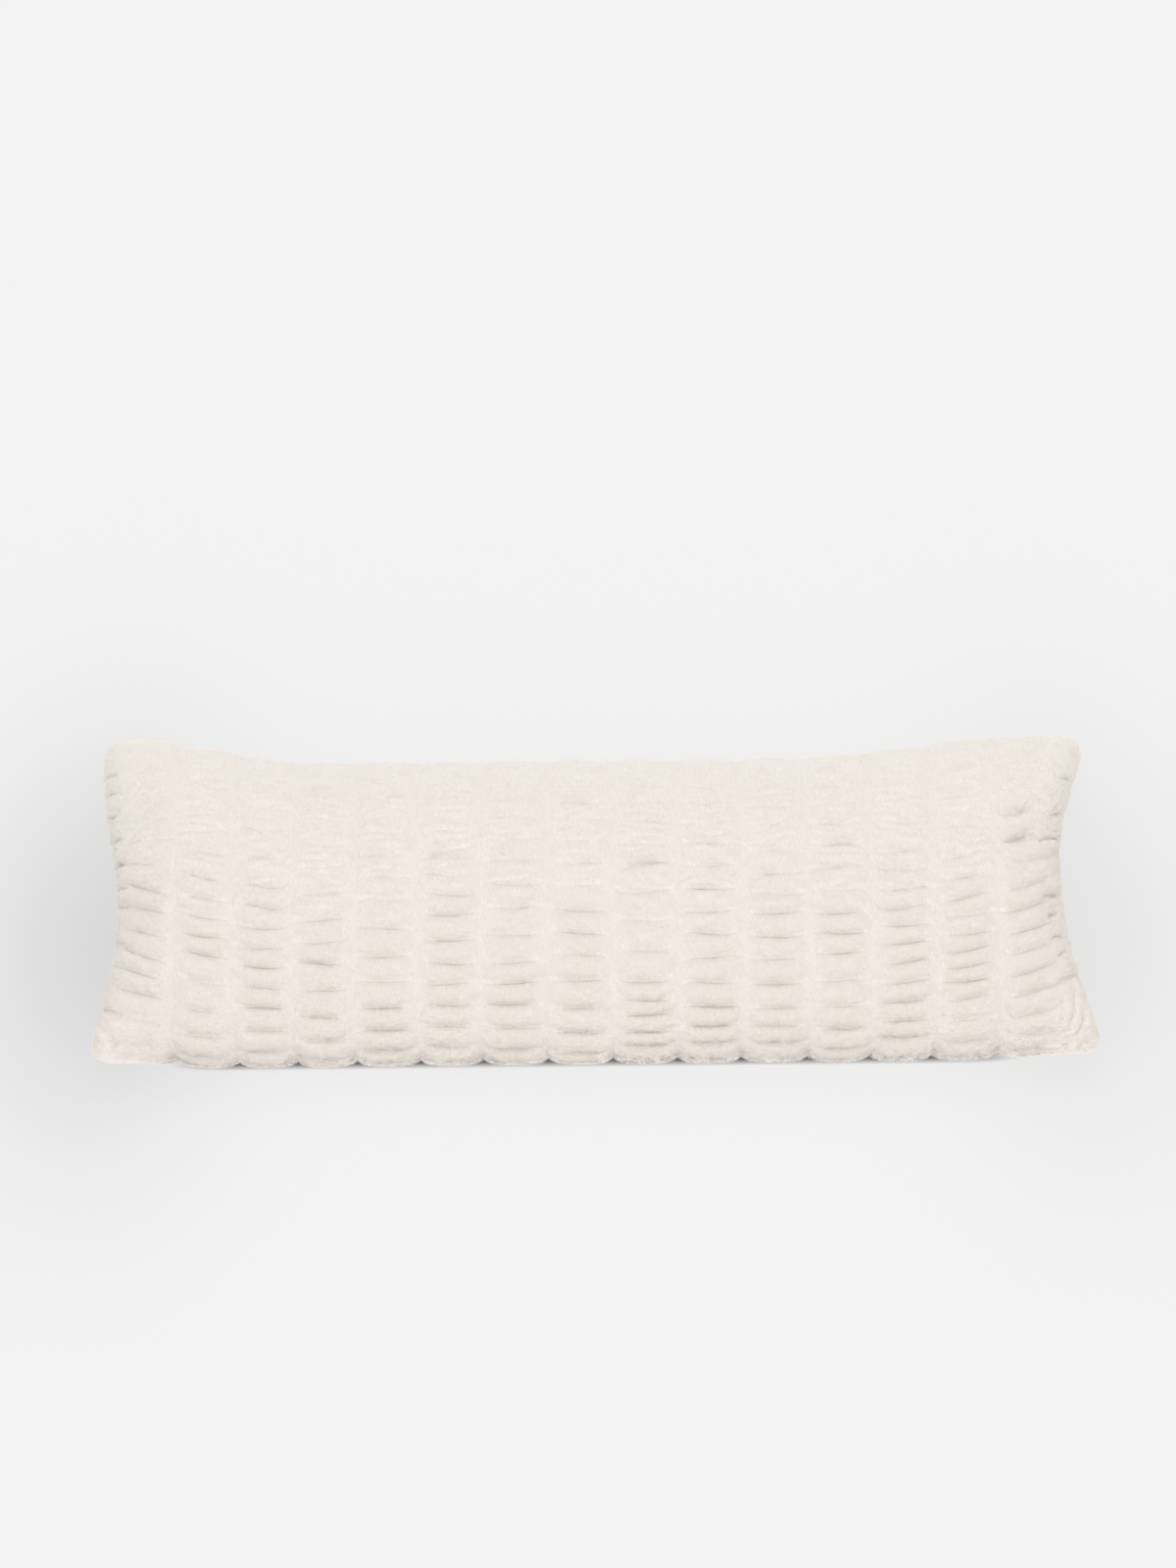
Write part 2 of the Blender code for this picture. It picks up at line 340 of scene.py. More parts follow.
# %% [markdown]
# A crease is a lens across its column: deepest near its middle, gone before it meets a line, and
# smiling, because the roll above it hangs over it. No two are alike, and `character` draws their
# traits once from a seeded source, so that the pillow is the same each time.

# %% Crease characters
LINE_BLEND = 0.12  # share of a column over which its creases settle into the line's own spacing
SMILE = 0.0036
TILT = 0.0020
TRAIT_SEED = 21
END_SHIFT, END_SHORTER = (0.05, -0.13), (0.08, 0.14)  # for the left and the right end column
CLEAR_LOSS, CLEAR_LEAD, CLEAR_FADE = 0.70, 0.020, 0.11  # how creases fade past their clear height
OPEN_SPACING, LEAST_DEPTH = 0.027, 0.6  # creases that stand closer than this are shallower
BESIDE_ENDS_DEPTH = 0.8


def character():
    """Traits of each crease or roll, by column and number."""
    rng = np.random.default_rng(TRAIT_SEED)
    shape = (len(COLUMNS), ROLLS + 1)
    traits = {
        "tilt": rng.uniform(-TILT, TILT, shape),
        "centre": rng.uniform(0.44, 0.56, shape),
        "reach": rng.uniform(0.41, 0.47, shape),
        "depth": rng.uniform(0.60, 1.0, shape),
        "height": rng.uniform(0.84, 1.10, shape),
    }
    for end, shift, shorter in zip((0, -1), END_SHIFT, END_SHORTER):
        traits["centre"][end] += shift
        traits["reach"][end] -= shorter
    clear = np.array([column.clear for column in COLUMNS])[:, None]
    traits["depth"] *= 1.0 - CLEAR_LOSS * fade(CREASES, clear - CLEAR_LEAD, CLEAR_FADE)
    traits["depth"] *= np.clip(np.gradient(CREASES, axis=1) / OPEN_SPACING, LEAST_DEPTH, 1.0)
    traits["depth"][[0, -2]] *= BESIDE_ENDS_DEPTH
    return traits


TRAITS = character()


def along_rolls(table, column, rolls):
    """Reads a table of creases at fractional rolls."""
    low = roll_of(rolls)
    part = rolls - low
    return table[column, low] * (1.0 - part) + table[column, low + 1] * part


def cloth_at(columns, rolls):
    """How far up the cloth a point lies, counted in columns and rolls."""
    column = column_of(columns)
    part = columns - column
    own = along_rolls(CREASES, column, rolls)
    beside = np.where(part < 0.5, column - 1, column + 1).clip(0, len(COLUMNS) - 1)
    other = along_rolls(CREASES, beside, rolls)
    to_line = np.minimum(part, 1.0 - part)
    settle = 0.5 * (1.0 - fade(to_line, 0.0, LINE_BLEND))
    cloth = own * (1.0 - settle) + other * settle

    share = np.clip(cloth / ARC, 0.0, 1.0)
    inside = np.sin(math.pi * share)
    cloth = cloth - SMILE * 4.0 * part * (1.0 - part) * inside
    tilt = along_rolls(TRAITS["tilt"], column, rolls) * np.sin(2.0 * math.pi * part)
    along = np.interp(columns, np.arange(len(LINES)), LINES)
    return cloth + tilt * inside + climb(along, share)


# %% [markdown]
# ## The shape of a roll
# The roll's underside is round and wide and turns under, while the top of the next roll rises
# steeply out of the crease. Low on the pillow the rolls are plump. Higher up the cloth lies over the
# crown and only fine creases are left. Along a line the elastic holds the cloth down in a shallow
# channel that no crease crosses.

# %% Roll profile
Change = namedtuple("Change", "lower upper start over")  # start and over are shares of the way up
ROUND = Change(0.0023, 0.0013, 0.30, 0.50)
CREASE_DEPTH = Change(0.0063, 0.0034, 0.22, 0.48)
CHANNEL_DEPTH = Change(0.0026, 0.0010, 0.35, 0.50)
CHANNEL_HALF = 0.0110
UNDERSIDE, TOPSIDE = 0.80, 0.50  # shares of a roll
PARABOLA, CIRCLE = 0.80, 0.20  # shares of each in a crease's side
LENS_POWER = 3.2
TURN_UNDER = 0.0012
ROUND_SKEW, ROUND_CLEAR = 0.75, 0.013
RIM_ROLLS = 0.6  # share of the first and the last roll over which the rolls set in
SIDE_ROUND = 0.030  # the same from the two ends


def changing(size, share):
    """A size at this share of the way up the cloth."""
    return size.lower + (size.upper - size.lower) * fade(share, size.start, size.over)


def rounding(part):
    """1 at 0 with an upright start, falling round to 0 at 1."""
    away = 1.0 - np.clip(part, 0.0, 1.0)
    return PARABOLA * away**2 + CIRCLE * (1.0 - quarter_round(part))


def lens(column, crease, part):
    """How strong a crease is at this share of its column."""
    off = (part - TRAITS["centre"][column, crease]) / TRAITS["reach"][column, crease]
    return TRAITS["depth"][column, crease] * np.clip(1.0 - np.abs(off) ** LENS_POWER, 0.0, 1.0)


def turned_under(columns, rolls):
    """How far a roll's underside hangs over the crease below it."""
    column, roll = column_of(columns), roll_of(rolls)
    across = np.clip((rolls - roll) / UNDERSIDE, 0.0, 1.0)
    strength = lens(column, roll, columns - column) * fade(rolls, 0.0, 1.0)
    return TURN_UNDER * strength * np.sin(math.pi * np.sqrt(across))


def roll_height(columns, rolls, cloth):
    """How far the cloth stands out over the crown."""
    column, roll = column_of(columns), roll_of(rolls)
    part = columns - column
    across = rolls - roll
    share = np.clip(cloth / ARC, 0.0, 1.0)

    full = ROLL_HEIGHT_LOWER + (ROLL_HEIGHT_UPPER - ROLL_HEIGHT_LOWER) * share
    below = lens(column, roll, part) * rounding(across / UNDERSIDE)
    above = lens(column, roll + 1, part) * rounding((1.0 - across) / TOPSIDE)
    from_rim = np.minimum(rolls, ROLLS - rolls)
    off_seam = fade(from_rim, 0.0, RIM_ROLLS)
    crease = changing(CREASE_DEPTH, share) * (below + above) * off_seam

    widths = np.diff(LINES)[column] * LENGTH / 2
    on_left, on_right = column == 0, column == len(COLUMNS) - 1
    to_left_line = np.where(on_left, 1.0, part) * widths
    to_right_line = np.where(on_right, 1.0, 1.0 - part) * widths
    to_line = np.minimum(to_left_line, to_right_line)
    channel = changing(CHANNEL_DEPTH, share) * np.exp(-((to_line / CHANNEL_HALF) ** 2))
    plump = TRAITS["height"][column, roll] ** (1.0 - np.abs(2.0 * across - 1.0))
    bulge = changing(ROUND, share)
    bulge *= np.sin(math.pi * across**ROUND_SKEW) * (1.0 - np.exp(-((to_line / ROUND_CLEAR) ** 4)))
    height = full * plump + (bulge - bulge.mean()) * off_seam

    to_seam = np.minimum(np.where(on_left, part, 1.0), np.where(on_right, 1.0 - part, 1.0)) * widths
    at_side, at_rim = quarter_round(to_seam / SIDE_ROUND), quarter_round(from_rim / RIM_ROLLS)
    return (height - channel) * at_side * at_rim - crease


# %% [markdown]
# ## Puckers at the seam
# Each line is caught in the perimeter seam and pulls it in a little, so the pillow's outline is
# scalloped: deeply along the lower edge, and hardly at all along the upper edge, where the crown
# hides the seam.

# %% Seam puckers
LOWER_PUCKER, UPPER_PUCKER = 0.0095, 0.0012
PUCKER_REACH = 0.020
NOTCH_POWER = 3.4
PUCKER_OFF_ENDS = (0.02, 0.04)  # where it starts from the ends, and the reach of its rise
PUCKER_OFF_BACK = (2.5, 3.5)  # the same on the back, in rings


def notch(counts):
    """1 where a line is caught in the seam, and round between."""
    part = counts - np.floor(counts)
    return 1.0 - np.sqrt(1.0 - np.abs(2.0 * part - 1.0) ** NOTCH_POWER)


def puckered(places, columns, along, cloth):
    """The same points, drawn in towards the pillow where they are near the seam."""
    lower = LOWER_PUCKER * notch(columns) * np.exp(-cloth / PUCKER_REACH)
    upper = UPPER_PUCKER * notch(columns) * np.exp(-(ARC - cloth) / PUCKER_REACH)
    pulled = places.copy()
    pulled[:, 1] += (lower - upper) * fade(to_end(along), *PUCKER_OFF_ENDS)
    return pulled


# %% [markdown]
# ## Lumps and fine wrinkles
# Stuffing is never even. Broad noise moves the whole front by a millimetre or so before it is
# stuffed. A second noise, stretched along the rolls, gives the small wrinkles that cross the upper
# part, where the creases have faded, and is pressed into the finished surface at the end.

# %% Noise on the cloth
EDGE_FADE, END_FADE = 0.06, 0.05  # shares of the cloth and of half the length
LUMP, LUMP_SIZE = 0.0022, 0.055
WRINKLE, WRINKLE_LENGTH, WRINKLE_SPACING = 0.0013, 0.044, 0.0100
WRINKLE_BEND, WRINKLE_SHARPNESS = 0.4, 3.0
WRINKLE_CLEAR = 0.014
WRINKLES_FROM, WRINKLES_TO = (0.30, 0.25), (0.80, 0.15)  # start and reach, in shares of the way up
TOP_LOSS, LEAST_WRINKLED = 0.5, 0.10
COLUMN_STEP = 5.3  # each column reads another part of the noise, so no wrinkle runs on in the next
LUMP_LAYER, RIDGE_LAYER, BEND_LAYER = 3.0, 5.0, 9.0


def noise_at(first, second, layer):
    """Smooth noise at pairs of numbers."""
    return np.array([noise.noise((a, b, layer)) for a, b in zip(first.tolist(), second.tolist())])


def off_edge(x, cloth):
    """1 on the front, falling to 0 at the seam."""
    share = np.clip(cloth / ARC, 0.0, 1.0)
    near = 1.0 - np.abs(x) / (LENGTH / 2)
    return fade(np.minimum(share, 1.0 - share), 0.0, EDGE_FADE) * fade(near, 0.0, END_FADE)


def lumps(along, cloth):
    x = along * LENGTH / 2
    return LUMP * noise_at(x / LUMP_SIZE, cloth / LUMP_SIZE, LUMP_LAYER) * off_edge(x, cloth)


def wrinkles(x, cloth):
    """How deep the small wrinkles are: each runs along a roll and stops short of the lines."""
    column = np.searchsorted(LINES[1:-1] * LENGTH / 2, x)
    bend = WRINKLE_BEND * noise_at(x / WRINKLE_LENGTH, cloth / WRINKLE_LENGTH, BEND_LAYER)
    reading = x / WRINKLE_LENGTH + COLUMN_STEP * column
    ridge = noise_at(reading, cloth / WRINKLE_SPACING + bend, RIDGE_LAYER)
    share = np.clip(cloth / ARC, 0.0, 1.0)
    fine = fade(share, *WRINKLES_FROM) * (1.0 - TOP_LOSS * fade(share, *WRINKLES_TO)) + LEAST_WRINKLED
    to_line = np.abs(x[:, None] - LINES * LENGTH / 2).min(axis=1)
    off_line = 1.0 - np.exp(-((to_line / WRINKLE_CLEAR) ** 2))
    depth = WRINKLE * np.clip(1.0 - WRINKLE_SHARPNESS * np.abs(ridge), 0.0, 1.0)
    return depth * fine * off_line * off_edge(x, cloth)


# %% [markdown]
# ## Folds placed one by one
# At the ends the cloth also folds across the columns. Slanted folds run out to the upper right end,
# a nest of curved ones follows the lower right corner, and the seams of both ends gather the cloth
# into short deep tucks, one under another. Two faint folds lie near the middle. Each row is one soft
# trough, from its start to its end as seen from the front, in millimetres, with its bow to the left
# of that direction, its depth and its half-width. They are pressed into the finished surface, like
# the small wrinkles.

# %% Folds
MILLIMETRES = 1000.0  # in a metre
Fold = namedtuple("Fold", "x y to_x to_y bow depth half")
FOLDS = (
    Fold(546, 125, 585, 139, 0, 4.0, 3.2),
    Fold(528, 76, 566, 102, -3, 5.0, 3.4),
    Fold(512, 44, 556, 56, 2, 5.5, 3.2),
    Fold(515, 20, 547, 44, -3, 2.0, 3.6),
    Fold(468, 39, 514, 57, -4, 3.4, 2.7),
    Fold(470, 72, 516, 95, -7, 1.8, 3.0),
    Fold(515, -24, 539, -16, 0, 5.5, 3.2),
    Fold(519, -48, 535, -38, 0, 6.5, 3.4),
    Fold(522, -72, 538, -65, 0, 5.5, 3.0),
    Fold(528, -94, 543, -80, 0, 5.0, 3.0),
    Fold(527, -121, 553, -107, 0, 4.5, 3.2),
    Fold(544, -116, 537, -174, 6, 3.6, 3.6),
    Fold(556, -142, 545, -180, 7, 3.6, 3.4),
    Fold(530, -134, 526, -168, 4, 2.4, 3.6),
    Fold(-590, 148, -560, 144, 0, 4.0, 3.4),
    Fold(-588, 126, -560, 121, 0, 4.5, 3.6),
    Fold(-586, 98, -556, 92, 0, 5.0, 3.6),
    Fold(-580, 69, -550, 62, 0, 5.5, 3.8),
    Fold(-576, 40, -546, 31, 0, 6.0, 4.0),
    Fold(-572, 11, -540, 2, 0, 5.0, 3.8),
    Fold(-570, -10, -538, -21, 0, 4.0, 3.6),
    Fold(-570, -53, -537, -65, 0, 4.0, 3.4),
    Fold(-578, -96, -550, -102, 0, 3.4, 3.6),
    Fold(-580, -132, -540, -145, 0, 4.5, 3.6),
    Fold(-572, -152, -548, -180, 2, 2.6, 4.5),
    Fold(-200, 24, -140, 39, 2, 2.0, 4.0),
    Fold(30, 10, 78, 20, 2, 2.0, 4.0),
)


def folded(places):
    """How deep the listed folds are under each point."""
    x, y = places[:, 0] * MILLIMETRES, places[:, 1] * MILLIMETRES
    total = np.zeros(len(x))
    for fold in FOLDS:
        run_x, run_y = fold.to_x - fold.x, fold.to_y - fold.y
        length = math.hypot(run_x, run_y)
        part = ((x - fold.x) * run_x + (y - fold.y) * run_y) / length**2
        off = ((y - fold.y) * run_x - (x - fold.x) * run_y) / length
        inside = np.clip(4.0 * part * (1.0 - part), 0.0, 1.0)
        off = off - fold.bow * inside
        total = np.maximum(total, fold.depth * np.sqrt(inside) * np.exp(-((off / fold.half) ** 2)))
    return total / MILLIMETRES


# %% [markdown]
# ## One closed cover
# The front starts as a grid in counting units, where x counts columns and y counts rolls, which is
# much easier to think in than metres. Its rim is then extruded ring by ring for the back panel. The
# extrusion can number its points differently from run to run, so they are sorted by their counts.
# Only after that does every point move to its real place. The flat middle of the back, which lies on
# the floor, is closed last, because a face with hundreds of sides must not be subdivided.

# %% Counting sheet
QUADS = [16] + [9] * (len(COLUMNS) - 2) + [18]  # across each column, finer at the ends
QUADS_SO_FAR = np.cumsum([0] + QUADS)
QUADS_PER_ROLL = 8
READING_ORDER = Vector((1.0, 1000.0, 100000.0))  # sorts by z, then y, then x
MAP_WIDTH, MAP_HEIGHT = 0.98, 0.48  # of each panel on the cover's map
FRONT_MIDDLE, BACK_MIDDLE = 0.75, 0.25
SPARE_FRAMES = 3.0  # keep the innermost frame of the back from closing to a point


def counting_sheet():
    """The cover in counting units, with the back panel's rings running down in z."""
    bm = bmesh.new()
    across = int(QUADS_SO_FAR[-1])
    upwards = ROLLS * QUADS_PER_ROLL
    bmesh.ops.create_grid(bm, x_segments=across, y_segments=upwards, size=1.0)
    for vert in bm.verts:
        quad = round((vert.co.x + 1.0) / 2 * across)
        vert.co.x = np.interp(quad, QUADS_SO_FAR, range(len(QUADS_SO_FAR)))
        vert.co.y = round((vert.co.y + 1.0) / 2 * upwards) / QUADS_PER_ROLL
    rim = [edge for edge in bm.edges if edge.is_boundary]
    for _ in BACK_RINGS:
        made = bmesh.ops.extrude_edge_only(bm, edges=rim)["geom"]
        rim = [item for item in made if isinstance(item, bmesh.types.BMEdge) and item.is_boundary]
        for vert in {vert for edge in rim for vert in edge.verts}:
            vert.co.z -= 1.0
    bm.verts.sort(key=lambda vert: vert.co.dot(READING_ORDER))
    bm.edges.sort(key=lambda edge: (edge.verts[0].co + edge.verts[1].co).dot(READING_ORDER))
    bm.faces.sort(key=lambda face: face.calc_center_median().dot(READING_ORDER))
    return bm


def flat_map(bm):
    """A map of the cover: the front above, and the back as nested frames below."""
    layer = bm.loops.layers.uv.new("OFBake")
    for face in bm.faces:
        front = min(vert.co.z for vert in face.verts) > -0.5
        for loop in face.loops:
            across = loop.vert.co.x / len(COLUMNS) - 0.5
            upwards = loop.vert.co.y / ROLLS - 0.5
            shrink = 1.0 if front else 1.0 + loop.vert.co.z / (len(BACK_RINGS) + SPARE_FRAMES)
            middle = FRONT_MIDDLE if front else BACK_MIDDLE
            loop[layer].uv = (0.5 + MAP_WIDTH * across * shrink, middle + MAP_HEIGHT * upwards * shrink)


# %% Place the cover
CLOSER_TO_LINES, CLOSER_TO_CREASES = 0.45, 0.55


def closer(counts, amount):
    """Moves evenly spaced counts towards the whole ones, where the form turns fastest."""
    return counts - amount * np.sin(2.0 * math.pi * counts) / (2.0 * math.pi)


Counts = namedtuple("Counts", "columns rolls rings")


def shaped(columns, rolls, rings):
    """The real places of points given in counting units."""
    along = np.interp(columns, np.arange(len(LINES)), LINES)
    cloth = cloth_at(columns, rolls)
    under = np.clip(cloth - turned_under(columns, rolls), 0.0, ARC)
    places = crown(along, under)
    height = roll_height(columns, rolls, cloth) + lumps(along, cloth) - PILE_DEPTH
    places += outward(along, under) * height[:, None]

    across = (1.0 - np.cos(np.interp(cloth, ARC_CLOTH, ARC_ANGLE))) / 2
    for number, ring in enumerate(BACK_RINGS, start=1):
        here = rings == number
        inset = ring._replace(side=ring.side + PILE_DEPTH, end=ring.end + PILE_DEPTH)
        x, y = plan(along[here], across[here], inset)
        places[here] = np.stack([x, y, np.full_like(x, ring.height)], axis=-1)
    ease = 1.0 - fade(rings, *PUCKER_OFF_BACK)[:, None]
    return places + (puckered(places, columns, along, cloth) - places) * ease


def build_cover():
    bm = counting_sheet()
    flat_map(bm)
    x, y, z = np.array([vert.co for vert in bm.verts], dtype=float).T
    columns, rolls = closer(x, CLOSER_TO_LINES), closer(y, CLOSER_TO_CREASES)
    counts = Counts(columns, rolls, np.rint(-z).astype(int))
    places = shaped(*counts)
    for vert, place in zip(bm.verts, places):
        vert.co = place
    bmesh.ops.recalc_face_normals(bm, faces=bm.faces)
    mesh = bpy.data.meshes.new("cover")
    bm.to_mesh(mesh)
    bm.free()
    mesh.shade_smooth()
    cover = bpy.data.objects.new("cover", mesh)
    bpy.context.scene.collection.objects.link(cover)
    print("cover", len(mesh.polygons), "faces")
    return cover, counts


cover, counts = build_cover()

# %% [markdown]
# ## Stuffing it
# So far the rolls are drawn, not stuffed. Blender's Cloth presses the cover outwards for a few frames
# while the lines, the creases and the back are held, so that what lies between them swells and the
# creases soften as filled cloth does. Each point's move is capped and written back into the mesh, so
# no simulation is left on the pillow.

# %% Filling pressure
PRESSURE, FRAMES = 60.0, 20
STIFFNESS, BENDING, POINT_MASS, QUALITY = 5.0, 0.05, 0.2, 4
MOST_MOVE = 0.0045
LINE_HOLD, CREASE_HOLD = 0.05, 0.09  # shares of a column and of a roll
NO_LENGTH = 1e-9  # below this a vector has no direction


def held(columns, rolls, rings):
    """How firmly each point is held while the filling presses: 1 is fixed."""
    column, crease = column_of(columns), np.rint(rolls).astype(int)
    stitched = np.exp(-(((columns - np.rint(columns)) / LINE_HOLD) ** 2))
    gathered = np.exp(-(((rolls - crease) / CREASE_HOLD) ** 2))
    gathered *= np.sqrt(lens(column, crease, columns - column))
    return np.where(rings > 0, 1.0, np.maximum(stitched, gathered))


def press(piece, hold):
    """Adds a Cloth whose pressure acts from inside."""
    group = piece.vertex_groups.new(name="held")
    for index, weight in enumerate(hold.tolist()):
        group.add([index], weight, "REPLACE")
    cloth = piece.modifiers.new("filling", "CLOTH")
    cloth.point_cache.frame_start, cloth.point_cache.frame_end = 1, FRAMES
    cloth.settings.vertex_group_mass = "held"
    cloth.settings.quality = QUALITY
    cloth.settings.mass = POINT_MASS
    cloth.settings.tension_stiffness = cloth.settings.compression_stiffness = STIFFNESS
    cloth.settings.bending_stiffness = BENDING
    cloth.settings.effector_weights.gravity = 0.0
    cloth.settings.use_pressure = True
    cloth.settings.uniform_pressure_force = PRESSURE


def at_vertices(mesh, name):
    """The places or the normals of a mesh, a row to each vertex."""
    values = np.empty(len(mesh.vertices) * 3)
    mesh.vertices.foreach_get(name, values)
    return values.reshape(-1, 3)


def stuff(piece, hold):
    """Runs the filling's pressure and keeps what it does, capped."""
    before = at_vertices(piece.data, "co")
    press(piece, hold)
    for number in range(1, FRAMES + 1):
        bpy.context.scene.frame_set(number)
    graph = bpy.context.evaluated_depsgraph_get()
    move = at_vertices(piece.evaluated_get(graph).data, "co") - before
    size = np.linalg.norm(move, axis=1, keepdims=True)
    move *= np.minimum(1.0, MOST_MOVE / np.maximum(size, NO_LENGTH))
    piece.modifiers.clear()
    piece.vertex_groups.clear()
    piece.data.vertices.foreach_set("co", (before + move).ravel())
    piece.data.update()
    print("stuffed, mean move", round(float(size.mean()), 5), "most", round(float(size.max()), 5))


stuff(cover, held(*counts))

# %% Finer surface
FOLDS_ABOVE = (0.030, 0.020)  # where the folds start over the floor, and the reach of their rise


def applied(piece):
    """Bakes a piece's modifiers into its mesh."""
    graph = bpy.context.evaluated_depsgraph_get()
    mesh = bpy.data.meshes.new_from_object(piece.evaluated_get(graph))
    old = piece.data
    piece.modifiers.clear()
    piece.data = mesh
    bpy.data.meshes.remove(old)
    mesh.name = piece.name


def refine(piece, levels):
    finer = piece.modifiers.new("finer", "SUBSURF")
    finer.levels = finer.render_levels = levels
    applied(piece)
    print(piece.name, len(piece.data.polygons), "faces after refining")


def close_base(piece):
    """Fills the flat middle of the back, which lies on the floor."""
    bm = bmesh.new()
    bm.from_mesh(piece.data)
    rim = [edge for edge in bm.edges if edge.is_boundary]
    base = bmesh.ops.holes_fill(bm, edges=rim, sides=0)["faces"]
    bmesh.ops.triangulate(bm, faces=base)
    bmesh.ops.recalc_face_normals(bm, faces=bm.faces)
    bm.to_mesh(piece.data)
    bm.free()
    piece.data.shade_smooth()


def crinkle(piece):
    """Presses the small wrinkles and the folds into the front."""
    mesh = piece.data
    places, normals = at_vertices(mesh, "co"), at_vertices(mesh, "normal")
    x, y, z = places.T
    angle = np.arctan2((z - SEAM_HEIGHT) / (THICKNESS - SEAM_HEIGHT), -y / (WIDTH / 2))
    cloth = np.interp(np.clip(angle, 0.0, math.pi), ARC_ANGLE, ARC_CLOTH)
    depth = wrinkles(x, cloth) * (z > SEAM_HEIGHT) + folded(places) * fade(z, *FOLDS_ABOVE)
    mesh.vertices.foreach_set("co", (places - normals * depth[:, None]).ravel())
    mesh.update()


refine(cover, 1)
crinkle(cover)
close_base(cover)

# %% [markdown]
# ## Shader maths in Python
# Materials here are written as expressions. `Wire` stands for an output socket, and arithmetic on it
# adds Math nodes. `Finish.node` adds any other node: its settings go in first and its sockets after,
# so one line makes one node.

# %% Shader helpers
class Wire:
    """An output socket with Python's operators."""

    def __init__(self, finish, socket):
        self.finish, self.socket = finish, socket

    def math(self, operation, *values):
        return self.finish.node("ShaderNodeMath", dict(enumerate(values)), operation=operation)

    def __add__(self, other):
        return self.math("ADD", self, other)

    __radd__ = __add__

    def __mul__(self, other):
        return self.math("MULTIPLY", self, other)

    __rmul__ = __mul__

    def __sub__(self, other):
        return self.math("SUBTRACT", self, other)

    def __rsub__(self, other):
        return self.math("SUBTRACT", other, self)


class Finish:
    """The nodes of a material, or of the world, that are being written."""

    def __init__(self, owner, shader="Principled BSDF"):
        owner.use_nodes = True
        self.owner, self.tree = owner, owner.node_tree
        self.shader = self.tree.nodes[shader]

    def feed(self, socket, value):
        if isinstance(value, Wire):
            self.tree.links.new(value.socket, socket)
        else:
            socket.default_value = value

    def node(self, kind, sockets=(), output=0, stops=(), **settings):
        made = self.tree.nodes.new(kind)
        for name, value in settings.items():
            setattr(made, name, value)
        if stops:
            ramp = made.color_ramp.elements
            while len(ramp) < len(stops):
                ramp.new(0.5)
            for element, (position, colour) in zip(ramp, stops):
                element.position, element.color = position, colour
        for name, value in dict(sockets).items():
            self.feed(made.inputs[name], value)
        return Wire(self, made.outputs[output])

    def surface(self, **values):
        for name, value in values.items():
            self.feed(self.shader.inputs[name.replace("_", " ")], value)
        return self.owner


# %% [markdown]
# ## The cover's cloth
# Under the pile lies the knitted ground of the cloth. It hardly shows, but what shows of it is the
# floor of every crease, so it is coloured a touch darker and warmer than the tips of the pile, as
# painted shade of the crease floors and the pile's roots. Its mottling is random tone.

# %% Ground cloth
def ground_cloth():
    finish = Finish(bpy.data.materials.new("cover_ground"))
    place = finish.node("ShaderNodeTexCoord", output="Object")
    broad = finish.node(
        "ShaderNodeTexNoise", {"Vector": place, "Scale": 14.0, "Detail": 3.0}, output="Fac"
    )
    nap = finish.node(
        "ShaderNodeTexNoise", {"Vector": place, "Scale": 420.0, "Detail": 2.0}, output="Fac"
    )
    # The ramp's darker, warmer colours are painted shade of the crease floors and pile roots; the noise
    # along it is random tone.
    colour = finish.node(
        "ShaderNodeValToRGB",
        {"Fac": 0.35 * broad + 0.65 * nap},
        stops=((0.30, (0.80, 0.735, 0.680, 1.0)), (0.70, (0.90, 0.85, 0.80, 1.0))),
        output="Color",
    )
    normal = finish.node(
        "ShaderNodeBump", {"Strength": 0.5, "Distance": 0.0015, "Height": nap}, output="Normal"
    )
    return finish.surface(
        Base_Color=colour, Roughness=0.95, Normal=normal, Sheen_Weight=0.25, Sheen_Roughness=0.5
    )


cover.data.materials.clear()
cover.data.materials.append(ground_cloth())
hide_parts("body_pillow")
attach(cover, "root")
print("cover finished")

# %% [markdown]
# ## Pile
# The cloth's face is a short plush pile. Each tuft of it is one thin blade, rooted in the skin and
# combed towards the upper seam, then down over the far edge and the ends. Most blades lie nearly
# flat, and some stand a little. Hundreds of thousands of them are made at once from arrays, as a loop
# would take minutes. A broad noise turns whole patches of neighbours the same way, which gives
# brushed plush its soft mottling, and blades are shorter where the skin is pinched into a crease, so
# that they don't bridge it.

# %% Skin as arrays
COMB_PATCH, COMB_LAYERS = 0.008, (11.0, 23.0, 37.0)
FULL_PINCH = 0.0004  # how far a point lies below its neighbours where it counts as fully pinched
Skin = namedtuple("Skin", "corners places normals pinch comb")


def smooth_noise(places, size, layer):
    return np.array([noise.noise((x / size, y / size, z / size + layer)) for x, y, z in places.tolist()])


def skin_arrays(piece):
    """The skin's triangles, and what the pile needs to know at each of its points."""
    mesh = piece.data
    places, normals = at_vertices(mesh, "co"), at_vertices(mesh, "normal")
    mesh.calc_loop_triangles()
    corners = np.empty(len(mesh.loop_triangles) * 3, dtype=int)
    mesh.loop_triangles.foreach_get("vertices", corners)
    edges = np.empty(len(mesh.edges) * 2, dtype=int)
    mesh.edges.foreach_get("vertices", edges)
    edges = edges.reshape(-1, 2)

    around, count = np.zeros_like(places), np.zeros(len(places))
    for one, other in ((0, 1), (1, 0)):
        np.add.at(around, edges[:, one], places[edges[:, other]])
        np.add.at(count, edges[:, one], 1.0)
    hollow = around / count[:, None] - places
    pinch = np.einsum("ij,ij->i", hollow, normals) / FULL_PINCH
    comb = np.stack([smooth_noise(places, COMB_PATCH, layer) for layer in COMB_LAYERS], axis=1)
    return Skin(corners.reshape(-1, 3), places, normals, np.clip(pinch, 0.0, 1.0), comb)


skin = skin_arrays(cover)
print("skin", len(skin.corners), "triangles, pinched", round(float(skin.pinch.mean()), 3))

